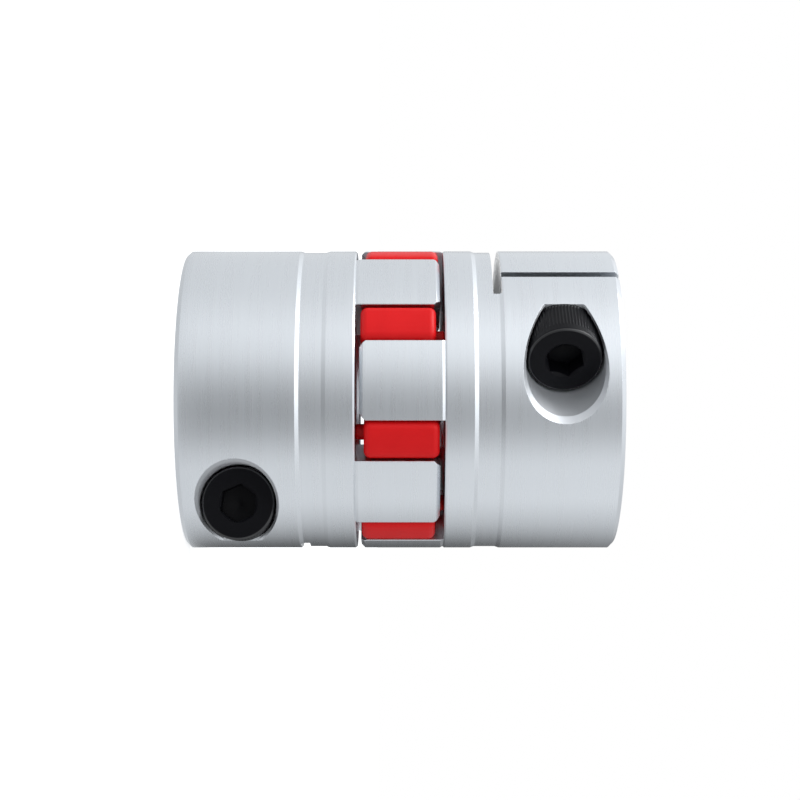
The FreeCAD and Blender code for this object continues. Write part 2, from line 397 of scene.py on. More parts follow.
@dataclass(frozen=True)
class RedElastomer(GrainedFinish):
    """Moulded polyurethane with a slight sheen and a faint cloudiness."""

    name: str = "red_elastomer"
    dark: Colour = (0.60, 0.003, 0.005)
    light: Colour = (0.68, 0.006, 0.008)
    gloss: float = 0.20
    roughness: float = 0.36
    cloud_mm: float = 3.5
    grain_mm: float = 0.35


@dataclass(frozen=True)
class BlackOxide(GrainedFinish):
    """Oiled black oxide on steel."""

    name: str = "black_oxide"
    dark: Colour = (0.0015, 0.0015, 0.0025)
    light: Colour = (0.006, 0.006, 0.008)
    gloss: float = 0.10
    roughness: float = 0.34
    cloud_mm: float = 2.5
    grain_mm: float = 0.25
    cloud_share: float = 0.5
    roughness_spread: float = 0.18
    edge_mm: float = 0.08


@dataclass(frozen=True)
class WornOxide(BlackOxide):
    """Black oxide rubbed thin on an edge."""

    name: str = "worn_oxide"
    dark: Colour = (0.002, 0.002, 0.003)
    light: Colour = (0.010, 0.010, 0.012)
    roughness: float = 0.24
    gloss: float = 0.7


def round_angles(steps: int) -> np.ndarray:
    """Angles at even steps all the way round."""
    return np.linspace(0.0, 2 * np.pi, steps, endpoint=False)


def shown(name: str, data: bpy.types.ID) -> Piece:
    """New object of the scene with this data."""
    made = bpy.data.objects.new(name, data)
    bpy.context.scene.collection.objects.link(made)
    return made


def swept(radius: np.ndarray, angle: np.ndarray, height: np.ndarray) -> np.ndarray:
    """Points (r cos a, r sin a, h) of a grid of radii r, angles a and heights h."""
    radius, angle, height = np.broadcast_arrays(radius, angle, height)
    return np.stack((radius * np.cos(angle), radius * np.sin(angle), height), axis=-1)


def triangle_wave(turns: np.ndarray) -> np.ndarray:
    """Wave that falls from 1 to 0 and rises again over each whole turn."""
    return np.abs(turns % 1.0 - 0.5) * 2.0


def values_of(items: bpy.types.bpy_prop_collection, name: str, width: int = 3) -> np.ndarray:
    """One property of all items of a mesh, as an array of items by width, or whole numbers."""
    values = np.empty(len(items) * width, float if width > 1 else np.int32)
    items.foreach_get(name, values)
    return values.reshape(-1, width) if width > 1 else values


def loft(name: str, rings: np.ndarray, looped: bool = False) -> Piece:
    """Skin a stack of rings.

    The surface is a grid: one parameter runs round each ring, the other from ring to ring. A
    looped stack joins its last ring to its first. Any other gets a flat cap at each end.

    Args:
        name: name of the new object.
        rings: points as an array of rings by points by 3, in millimetres.
        looped: whether the stack closes on itself.

    Returns:
        The closed solid as an object.
    """
    count, width, _ = rings.shape
    row = np.arange(count if looped else count - 1)[:, None]
    column = np.arange(width)[None, :]
    row, above = row * width, (row + 1) % count * width
    beside = (column + 1) % width
    faces = np.stack((row + column, row + beside, above + beside, above + column), axis=-1)
    faces = faces.reshape(-1, 4).tolist()
    if not looped:
        faces.append(list(range(width))[::-1])
        faces.append(list(range((count - 1) * width, count * width)))
    mesh = bpy.data.meshes.new(name)
    mesh.from_pydata(rings.reshape(-1, 3).tolist(), [], faces)
    work = bmesh.new()
    work.from_mesh(mesh)
    bmesh.ops.recalc_face_normals(work, faces=work.faces)
    work.to_mesh(mesh)
    work.free()
    return shown(name, mesh)


def lathe(
    name: str, profile: Sequence[Sequence[float]], segments: int, looped: bool = False
) -> Piece:
    """Turn a profile about the Z axis.

    A point at radius r and height h sweeps (r cos a, r sin a, h) as the angle a goes round.

    Args:
        name: name of the new object.
        profile: pairs of radius and height, in millimetres.
        segments: steps round the axis.
        looped: whether the profile is a closed outline that stays off the axis.

    Returns:
        The turned solid.
    """
    radius, height = np.array(profile, float).T[:, :, None]
    return loft(name, swept(radius, round_angles(segments), height), looped)


def prism(name: str, outlines: np.ndarray, levels: Sequence[float]) -> Piece:
    """Stack outlines of the XY plane at given heights.

    Args:
        name: name of the new object.
        outlines: one outline for all levels, or one for each, as points by 2.
        levels: heights in millimetres.

    Returns:
        The solid.
    """
    height = np.array(levels, float)
    flat = np.broadcast_to(outlines, (len(height), *outlines.shape[-2:]))
    lift = np.broadcast_to(height[:, None, None], (*flat.shape[:2], 1))
    return loft(name, np.concatenate((flat, lift), axis=-1))


def turned(points: np.ndarray, degrees: float) -> np.ndarray:
    """Points of the XY plane turned about the origin."""
    angle = math.radians(degrees)
    spin = np.array(((math.cos(angle), math.sin(angle)), (-math.sin(angle), math.cos(angle))))
    return points @ spin


def move(piece: Piece, matrix: Matrix) -> Piece:
    """Move a piece's own points, so that its object stays at the origin."""
    piece.data.transform(matrix)
    return piece


def join(base: Piece, tools: Sequence[Piece], how: Joinery) -> Piece:
    """Cut tools out of a solid or weld them to it, and discard the tools."""
    for tool in tools:
        step = base.modifiers.new(how.name.lower(), "BOOLEAN")
        step.operation = how.value
        step.solver = "EXACT"
        step.object = tool
    bake(base)
    for tool in tools:
        bpy.data.objects.remove(tool)
    return base


def bake(piece: Piece) -> None:
    """Apply a piece's modifiers to its mesh."""
    graph = bpy.context.evaluated_depsgraph_get()
    piece.data = bpy.data.meshes.new_from_object(piece.evaluated_get(graph))
    piece.modifiers.clear()


def dress(piece: Piece, crease_deg: float, finishes: Sequence[Finish]) -> None:
    """Give a piece its finishes, and shade it smooth with normals that favour its large faces."""
    for finish in finishes:
        piece.data.materials.append(finish.material())
    piece.data.shade_smooth()
    piece.data.set_sharp_from_angle(angle=math.radians(crease_deg))
    piece.modifiers.new("weighted", "WEIGHTED_NORMAL").keep_sharp = True
    bake(piece)


def true_normals(piece: Piece, axes: Sequence[tuple[Vector, Vector, int]]) -> None:
    """Give round faces the exact normals of the surface that they stand for.

    A face is round about an axis if its normal lies in the plane through the axis and its middle,
    to within a little more than half a step. At each corner the normal is then the face's own
    slope along the axis, and for the rest it points straight away from the axis there. Level
    faces stay level.

    Args:
        piece: a piece that is already shaded smooth.
        axes: for each turned surface a point on its axis, the axis and the steps round it.
    """
    slack = 1.2
    mesh = piece.data
    middle = values_of(mesh.polygons, "center")
    facing = values_of(mesh.polygons, "normal")
    owner = np.repeat(np.arange(len(middle)), values_of(mesh.polygons, "loop_total", 1))
    vertex = values_of(mesh.loops, "vertex_index", 1)
    place = values_of(mesh.vertices, "co")
    normal = values_of(mesh.corner_normals, "vector")
    level = np.abs(facing[:, 2]) > 0.9999
    normal[level[owner]] = facing[owner][level[owner]]
    for origin, axis, steps in axes:
        line = np.array(axis)

        def away(points: np.ndarray) -> np.ndarray:
            """Directions straight away from the axis."""
            offset = points - np.array(origin)
            offset -= np.outer(offset @ line, line)
            return offset / np.maximum(np.linalg.norm(offset, axis=1, keepdims=True), 1e-9)

        outward = away(middle)
        along = facing @ line
        straight = (facing * outward).sum(axis=1)
        aside = np.linalg.norm(facing - np.outer(along, line) - straight[:, None] * outward, axis=1)
        limit = math.tan(slack * math.pi / steps)
        is_round = (aside < limit * np.abs(straight)) & ~level
        chosen = is_round[owner]
        part = owner[chosen]
        lean = np.sign(straight[part]) * np.sqrt(1 - along[part] ** 2)
        normal[chosen] = np.outer(along[part], line) + lean[:, None] * away(place[vertex[chosen]])
    mesh.normals_split_custom_set(normal.tolist())


def hand_over(piece: Piece, node: str, place: Matrix) -> Piece:
    """Put a piece in place, in metres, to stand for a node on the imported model's one body."""
    move(piece, Matrix.Scale(MM, 4) @ place)
    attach(piece, "root")
    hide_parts(node)
    LOG.info("%s: %d faces", piece.name, len(piece.data.polygons))
    return piece


@dataclass(frozen=True)
class Layout:
    """Sizes that several parts share, in millimetres and degrees."""

    outer_radius: float
    length: float
    hub_length: float
    tip_height: float
    jaw_pitch: float = 90.0
    jaw_angle: float = 43.0
    screw_offset: float = 19.85
    screw_height: float = 10.35
    seat_depth: float = 8.0
    hole_steps: int = 72

    @classmethod
    def from_frame(cls) -> Layout:
        """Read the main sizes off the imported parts. The spider's pips touch both inner faces."""
        low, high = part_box("lower_hub")
        return cls(
            outer_radius=round((high.x - low.x) / 2 / MM, 2),
            length=round(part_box("upper_hub")[1].z / MM, 2),
            hub_length=round(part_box("spider")[0].z / MM, 2),
            tip_height=round(high.z / MM, 2),
        )

    @property
    def lobe_angle(self) -> float:
        """Angle of the first lobe, midway between two jaws."""
        return self.jaw_angle - self.jaw_pitch / 4

    @property
    def upper_turn(self) -> float:
        """Turn of the upper hub that puts its jaws midway between the lower ones."""
        return 2 * self.jaw_angle - 2.5 * self.jaw_pitch

    def upper_place(self) -> Matrix:
        """The upper hub is turned end for end, then about the axis, and lifted."""
        lift = Matrix.Translation((0.0, 0.0, self.length))
        spin = Matrix.Rotation(math.radians(self.upper_turn), 4, "Z")
        return lift @ spin @ Matrix.Rotation(math.pi, 4, "X")

    def on_screw(self, y: float) -> Vector:
        """Point on a screw's axis in its hub."""
        return Vector((self.screw_offset, y, self.screw_height))

    def seat(self) -> Matrix:
        """Place of a screw's seat in its hub, with the screw's head towards the hub's -Y."""
        lay = Matrix.Rotation(math.pi / 2, 4, "X")
        return Matrix.Translation(self.on_screw(-self.seat_depth)) @ lay


@dataclass
class ClampScrew:
    """Socket head cap screw. Its head stands above Z 0 and its thread hangs below."""

    node: str
    place: Matrix
    steps: int = 72
    head_radius: float = 6.6
    head_height: float = 8.0
    head_round: float = 0.6
    head_foot: float = 0.15
    band_radius: float = 6.52
    knurl_low: float = 0.35
    knurl_high: float = 6.3
    knurl_depth: float = 0.16
    knurl_run_in: float = 0.25
    knurl_ridges: int = 72
    thread_radius: float = 4.0
    thread_pitch: float = 1.25
    thread_depth: float = 0.72
    thread_length: float = 20.0
    plain_neck: float = 2.0
    point: float = 0.8
    socket_flats: float = 6.0
    socket_depth: float = 4.0
    socket_cone: float = 0.9
    socket_mouth: float = 0.5
    crease_deg: float = 30.0
    worn_slope: tuple[float, float] = (0.3, 0.9)
    finishes: tuple[Finish, ...] = (BlackOxide(), WornOxide())

    def head(self) -> Piece:
        """Knurled head.

        Between the two ends of the knurl the radius dips by a triangle wave of the angle, with
        one dip for each ridge. Above it comes a plain band and a quarter round.

        Returns:
            The head without its socket.
        """
        per_ridge = 4
        angle = round_angles(self.knurl_ridges * per_ridge)
        wave = triangle_wave(angle * self.knurl_ridges / (2 * np.pi))
        turn = np.linspace(0.0, np.pi / 2, 9)
        arc_radius = self.band_radius - self.head_round * (1 - np.cos(turn))
        arc_height = self.head_height - self.head_round * (1 - np.sin(turn))
        outer, run_in = self.head_radius, self.knurl_run_in
        radius, height, dip = np.array((
            (outer - self.head_foot, 0.0, 0.0),
            (outer, self.head_foot, 0.0),
            (outer, self.knurl_low, 0.0),
            (outer, self.knurl_low + run_in, self.knurl_depth),
            (outer, self.knurl_high - run_in, self.knurl_depth),
            (self.band_radius, self.knurl_high, 0.0),
            *zip(arc_radius, arc_height, 0.0 * turn),
        )).T[:, :, None]
        rings = swept(radius - dip * wave, angle, height)
        return loft(self.node + "_head", rings)

    def shank(self) -> Piece:
        """Threaded shank.

        The radius dips by a triangle wave of height over pitch less angle over a full turn, which
        is a helix. The dips fade out into the plain neck and the point.

        Returns:
            The shank, which starts inside the head.
        """
        rows_per_pitch = 10
        inside_head = 0.5
        angle = round_angles(self.steps)
        rows = int(self.thread_length / self.thread_pitch * rows_per_pitch)
        height = np.linspace(-self.thread_length, inside_head, rows)[:, None]
        wave = triangle_wave(height / self.thread_pitch - angle / (2 * np.pi))
        fade = np.clip((-self.plain_neck - height) / self.thread_pitch, 0.0, 1.0)
        end = self.thread_radius - self.point + (height + self.thread_length)
        radius = np.minimum(self.thread_radius - self.thread_depth * wave * fade, end)
        return loft(self.node + "_shank", swept(radius, angle, height))

    def socket_tools(self) -> list[Piece]:
        """Hexagon, and the drilled pilot with its cone and mouth."""
        centre = 0.05
        inner = self.socket_flats / 2
        floor = self.head_height - self.socket_depth
        above = self.head_height + CLEAR
        hexagon = swept(self.socket_flats / math.sqrt(3), round_angles(6), 0.0)[:, :2]
        pilot = (
            (centre, floor - self.socket_cone),
            (inner, floor),
            (inner, self.head_height - self.socket_mouth),
            (inner + self.socket_mouth + CLEAR, above),
        )
        return [prism("hexagon", hexagon, (floor, above)), lathe("pilot", pilot, self.steps)]

    def mark_wear(self, screw: Piece) -> None:
        """Give the round edge of the head the worn finish."""
        low, high = self.worn_slope
        for face in screw.data.polygons:
            is_edge = face.center.xy.length > self.band_radius - self.head_round
            is_edge &= face.center.z > 0 and low < face.normal.z < high
            face.material_index = int(is_edge)

    def build(self) -> Piece:
        """Make the screw, dress it and hand it over."""
        screw = join(self.head(), [self.shank()], Joinery.WELD)
        join(screw, self.socket_tools(), Joinery.CUT)
        screw.name = self.node + "_finished"
        dress(screw, self.crease_deg, self.finishes)
        self.mark_wear(screw)
        return hand_over(screw, self.node, self.place)


@dataclass
class ClampingHub:
    """Clamping hub. Its end face is at Z 0, its slit opens to +X and its screw head is at -Y."""

    node: str
    place: Matrix
    layout: Layout
    segments: int = 384
    crease_deg: float = 15.0
    jaw_inner_radius: float = 17.4
    jaw_tip_chamfer: float = 0.65
    jaw_corner_chamfer: float = 1.05
    edge_break: float = 0.12
    root_line: tuple[float, float] = (0.3, 0.5)
    root_line_depth: float = 0.25
    pocket_width: float = 7.3
    reach: float = 40.0
    bore_radius: float = 11.0
    bore_chamfer: float = 0.4
    end_chamfer: float = 0.75
    relief: tuple[float, float] = (20.8, 26.1)
    relief_depth: float = 0.25
    relief_slope: float = 0.7
    slit_width: float = 1.6
    saw_start: float = 21.0
    saw_width: float = 1.6
    saw_radius: float = 40.0
    saw_steps: int = 256
    saw_offset: float = 34.0
    saw_angle: float = 69.6
    seat_radius: float = 6.9
    seat_rim: float = 0.5
    seat_lead: float = 1.3
    clearance_radius: float = 4.25
    thread_radius: float = 4.0
    finishes: tuple[Finish, ...] = (
        TurnedAluminium(), MilledAluminium(), SawnAluminium(), BoredAluminium()
    )

    @property
    def saw_end(self) -> float:
        """Height of the cross cut's upper side."""
        return self.saw_start + self.saw_width

    @property
    def saw_centre(self) -> np.ndarray:
        """Middle of the saw in the XY plane."""
        return turned(np.array((self.saw_offset, 0.0)), self.saw_angle)

    def profile(self) -> list[tuple[float, float]]:
        """Closed half section of the turned blank, as pairs of radius and height."""
        outer = self.layout.outer_radius
        face = self.layout.hub_length
        tip = self.layout.tip_height
        groove = outer - self.relief_depth
        start, end = self.relief
        before, after = self.root_line
        bevel = self.jaw_corner_chamfer / 2
        return [
            (self.bore_radius, self.bore_chamfer),
            (self.bore_radius + self.bore_chamfer, 0.0),
            (outer - self.end_chamfer, 0.0),
            (outer, self.end_chamfer),
            (outer, start),
            (groove, start + self.relief_slope),
            (groove, end - self.relief_slope),
            (outer, end),
            (outer, face - before),
            (outer - self.root_line_depth, face),
            (outer, face + after),
            (outer, tip - self.jaw_tip_chamfer),
            (outer - self.jaw_tip_chamfer, tip),
            (self.jaw_inner_radius + bevel, tip),
            (self.jaw_inner_radius, tip - bevel),
            (self.jaw_inner_radius, face),
            (self.bore_radius + self.bore_chamfer, face),
            (self.bore_radius, face - self.bore_chamfer),
        ]

    def gap_tools(self) -> list[Piece]:
        """Wedges between the jaws.

        Each side stands half a lobe pocket off the plane of the lobe next to it, and spreads at
        45 degrees near the tips, which leaves the chamfer on the jaws' corners. A side that runs
        at an offset s from the axis reaches the radius r at the square root of r squared less s
        squared, measured along the lobe. There it flares, which breaks the jaw's outer edge.

        Returns:
            One wedge for each gap.
        """
        half_turn = math.radians(self.layout.jaw_pitch / 4)
        tip = self.layout.tip_height
        levels = (self.layout.hub_length, tip - self.jaw_corner_chamfer, tip + CLEAR)
        spread = self.pocket_width / 2 + np.array((0.0, 0.0, self.jaw_corner_chamfer + CLEAR))
        apex = spread / math.sin(half_turn)
        edge = self.layout.outer_radius - self.edge_break
        run = apex * math.cos(half_turn) + np.sqrt(edge**2 - spread**2)
        break_x = run * math.cos(half_turn) - apex
        break_y = run * math.sin(half_turn)
        flare = 2.0
        flare_turn = half_turn + math.pi / 4
        flare_x = break_x + flare * math.cos(flare_turn)
        flare_y = break_y + flare * math.sin(flare_turn)
        far = np.full_like(apex, self.reach)
        far_y = (self.reach + apex) * math.tan(half_turn)
        side = np.array(((break_x, break_y), (flare_x, flare_y), (far, far_y))).transpose(2, 0, 1)
        start = np.stack((-apex, 0 * apex), axis=-1)[:, None]
        wedge = np.concatenate((start, side * (1, -1), side[:, ::-1]), axis=1)
        first = self.layout.jaw_angle + self.layout.jaw_pitch / 2
        turns = np.arange(round(360 / self.layout.jaw_pitch)) * self.layout.jaw_pitch + first
        return [prism("jaw_gap", turned(wedge, turn), levels) for turn in turns]

    def counterbore_tool(self) -> Piece:
        """Counterbore that flares where it comes out of the hub, which leaves a steep lead-in.

        The hub's outside over a point at u from the axis is at the square root of the outer
        radius squared less u squared. The flare starts a given depth below that height, and
        shrinks with the wall where less of it than that is left over the seat.

        Returns:
            The tool, lying along -Y.
        """
        angle = round_angles(128)
        beyond = 1.5

        def outside(radius: np.ndarray | float) -> np.ndarray:
            """Height of the hub's outside along a circle round the screw's axis."""
            across = self.layout.screw_offset + radius * np.cos(angle)
            return np.sqrt(np.maximum(self.layout.outer_radius**2 - across**2, 0.0))

        seat = self.layout.seat_depth
        share = np.clip((outside(self.seat_radius) - seat) / self.seat_lead, 0.0, 1.0)
        wide = self.seat_radius + self.seat_rim * share
        far = wide + beyond * share
        low = np.maximum(outside(self.seat_radius) - self.seat_lead, seat + 0.001)
        high = np.maximum(outside(wide), seat + 0.002)
        top = high + (high - low) / self.seat_rim * beyond
        near_seat = self.seat_radius + 0 * angle
        radius = np.stack((near_seat, near_seat, wide, far, far))
        depth = np.stack((seat + 0 * angle, low, high, top, self.reach + 0 * angle))
        rings = swept(radius, angle, -depth)[..., (0, 2, 1)]
        middle = (self.layout.screw_offset, 0.0, self.layout.screw_height)
        return loft("counterbore", rings + middle)

    def cross_hole(self, name: str, radius: float, start: float, end: float) -> Piece:
        """Round hole along the screw's axis between two places in Y."""
        tool = lathe(name, ((radius, start), (radius, end)), self.layout.hole_steps)
        lay = Matrix.Rotation(-math.pi / 2, 4, "X")
        return move(tool, Matrix.Translation(self.layout.on_screw(0.0)) @ lay)

    def clamp_tools(self) -> list[Piece]:
        """Counterbore, both screw holes, the slit with its outer edges broken, the cross cut."""
        half = self.slit_width / 2
        edge = self.layout.outer_radius - self.edge_break
        wide = half + self.reach - edge
        slit_x = (0.0, edge, self.reach, self.reach, edge, 0.0)
        slit = np.stack((slit_x, (-half, -half, -wide, wide, half, half)), axis=-1)
        disc = swept(self.saw_radius, round_angles(self.saw_steps), 0.0)[:, :2]
        saw = turned(disc + (self.saw_offset, 0.0), self.saw_angle)
        above_seat = -self.layout.seat_depth - 0.5
        return [
            self.counterbore_tool(),
            self.cross_hole("free_hole", self.clearance_radius, above_seat, 0.0),
            self.cross_hole("tapped_hole", self.thread_radius, 0.0, self.reach),
            prism("slit", slit, (-CLEAR, (self.saw_start + self.saw_end) / 2)),
            prism("saw", saw, (self.saw_start, self.saw_end)),
        ]

    def sort_faces(self, hub: Piece) -> None:
        """Give each face the finish of the tool that made it."""
        faces = hub.data.polygons
        x, y, z = values_of(faces, "center").T
        _, side_y, up = np.abs(values_of(faces, "normal").T)
        level, upright = up > 0.99, up < 0.01
        near, margin = 0.03, 0.3
        outer = self.layout.outer_radius
        outward = np.hypot(x, y)
        to_screw = np.hypot(x - self.layout.screw_offset, z - self.layout.screw_height)
        to_saw = np.hypot(*(np.stack((x, y), axis=-1) - self.saw_centre).T)
        in_cut = (z > self.saw_start - near) & (z < self.saw_end + near)
        flat = level & ((np.abs(z - self.saw_start) < near) | (np.abs(z - self.saw_end) < near))
        end = upright & in_cut & (np.abs(to_saw - self.saw_radius) < near)
        wall = (side_y > 0.99) & (np.abs(np.abs(y) - self.slit_width / 2) < near)
        wall &= (x > 0) & (z < self.saw_end)
        seat = (outward < outer - near) & (y < near - self.layout.seat_depth)
        seat &= to_screw < self.seat_radius + self.seat_rim + near
        holes = (to_screw < self.clearance_radius + near) & (z < self.saw_start)
        flanks = upright & (z > self.layout.hub_length) & (outward < outer - margin)
        flanks &= outward > self.jaw_inner_radius + margin
        made_by = np.full(len(faces), Machining.TURNED.value)
        made_by[holes | flanks | wall] = Machining.MILLED.value
        made_by[seat] = Machining.BORED.value
        made_by[flat | end] = Machining.SAWN.value
        faces.foreach_set("material_index", made_by.astype(np.int32))

    def build(self) -> Piece:
        """Make the hub, dress it and hand it over."""
        hub = lathe(self.node + "_finished", self.profile(), self.segments, looped=True)
        join(hub, self.gap_tools() + self.clamp_tools(), Joinery.CUT)
        dress(hub, self.crease_deg, self.finishes)
        true_normals(hub, (
            (self.layout.on_screw(0.0), Vector((0.0, 1.0, 0.0)), self.layout.hole_steps),
            (Vector((*self.saw_centre, 0.0)), UP, self.saw_steps),
            (Vector(), UP, self.segments),
        ))
        self.sort_faces(hub)
        return hand_over(hub, self.node, self.place)


@dataclass
class Spider:
    """Elastomer spider: eight rounded lobes on a ring, with spacer pips. Its middle is at Z 0."""

    node: str
    place: Matrix
    layout: Layout
    hole_radius: float = 13.5
    ring_radius: float = 17.1
    ring_half: float = 5.5
    ring_round: float = 0.35
    lobe_length: float = 13.2
    lobe_shift: float = 0.3
    lobe_radius: float = 27.7
    lobe_root: float = 15.5
    lobe_end_half: float = 3.36
    lobe_bulge: float = 0.27
    lobes: int = 8
    corner_round: float = 1.5
    corner_gap: float = 0.12
    edge_round: float = 1.25
    pip_radius: float = 1.4
    pip_place: float = 21.5
    pip_foot: float = 0.3
    pip_dome: tuple[float, float, float] = (0.35, 0.12, 0.4)
    pip_steps: int = 32
    ring_steps: int = 192
    crease_deg: float = 22.0
    finishes: tuple[Finish, ...] = (RedElastomer(),)

    def lobe_outline(self, inset: np.ndarray) -> np.ndarray:
        """Plan of a lobe, drawn in by an inset.

        The flanks bulge by a parabola between root and corner, the corners are arcs, and the
        outer end is an arc about the coupling's axis.

        Args:
            inset: how far each outline is drawn in, in millimetres.

        Returns:
            Outlines as insets by points by 2.
        """
        draw = inset[:, None]
        corner_x = self.lobe_radius - self.corner_round - self.corner_gap
        corner_y = self.lobe_end_half - self.corner_round
        run = np.linspace(0.0, 1.0, 14)[None, :]
        flank_x = self.lobe_root + (corner_x - self.lobe_root) * run + 0 * draw
        flank_y = self.lobe_end_half + self.lobe_bulge * 4 * run * (1 - run) - draw
        turn = np.linspace(0.0, np.pi / 2, 9)[None, 1:]
        bend = self.corner_round - draw
        bend_x = corner_x + bend * np.sin(turn)
        bend_y = corner_y + bend * np.cos(turn)
        sweep = np.linspace(1.0, 0.0, 5)[None, 1:-1] * corner_y
        end_x = np.sqrt((self.lobe_radius - draw) ** 2 - sweep**2)
        end_y = sweep + 0 * draw
        half_x = np.concatenate((flank_x, bend_x, end_x), axis=1)
        half_y = np.concatenate((flank_y, bend_y, end_y), axis=1)
        half = np.stack((half_x, half_y), axis=-1)
        middle = np.stack((self.lobe_radius - draw, 0 * draw), axis=-1)
        return np.concatenate((half * (1, -1), middle, half[:, ::-1]), axis=1)

    def lobe_turn(self, index: int) -> float:
        """Turn of a lobe about the axis, in degrees."""
        return self.layout.lobe_angle + index * 360 / self.lobes

    def lobe(self, index: int) -> Piece:
        """One lobe, nearer the upper hub or the lower one by turns."""
        turn = np.linspace(0.0, np.pi / 2, 8)
        rise = self.lobe_length / 2 - self.edge_round * (1 - np.sin(turn))
        inset = self.edge_round * (1 - np.cos(turn))
        shift = self.lobe_shift * (1 - 2 * (index % 2))
        levels = np.concatenate((-rise[::-1], rise)) + shift
        insets = np.concatenate((inset[::-1], inset))
        return prism("lobe", turned(self.lobe_outline(insets), self.lobe_turn(index)), levels)

    def pip(self, index: int) -> Piece:
        """Domed spacer pip at the end of a lobe that stands farther from its hub."""
        side = 2 * (index % 2) - 1
        top = self.layout.length / 2 - self.layout.hub_length
        start = self.lobe_length / 2 - self.lobe_shift - self.pip_foot
        shoulder, bend, crown = self.pip_dome
        profile = (
            (self.pip_radius, start),
            (self.pip_radius, top - shoulder),
            (self.pip_radius - bend, top - bend),
            (self.pip_radius - crown, top),
        )
        tool = lathe("pip", [(radius, side * height) for radius, height in profile], self.pip_steps)
        place = turned(np.array((self.pip_place, 0.0)), self.lobe_turn(index))
        return move(tool, Matrix.Translation((*place, 0.0)))

    def build(self) -> Piece:
        """Make the spider, dress it and hand it over."""
        low, high, edge = self.hole_radius, self.ring_radius, self.ring_half
        soft = self.ring_round
        half = [(low, edge - soft), (low + soft, edge), (high - soft, edge), (high, edge - soft)]
        section = [(radius, -height) for radius, height in half] + half[::-1]
        ring = lathe(self.node + "_finished", section, self.ring_steps, looped=True)
        tools = [make(index) for make in (self.lobe, self.pip) for index in range(self.lobes)]
        join(ring, tools, Joinery.WELD)
        dress(ring, self.crease_deg, self.finishes)
        return hand_over(ring, self.node, self.place)


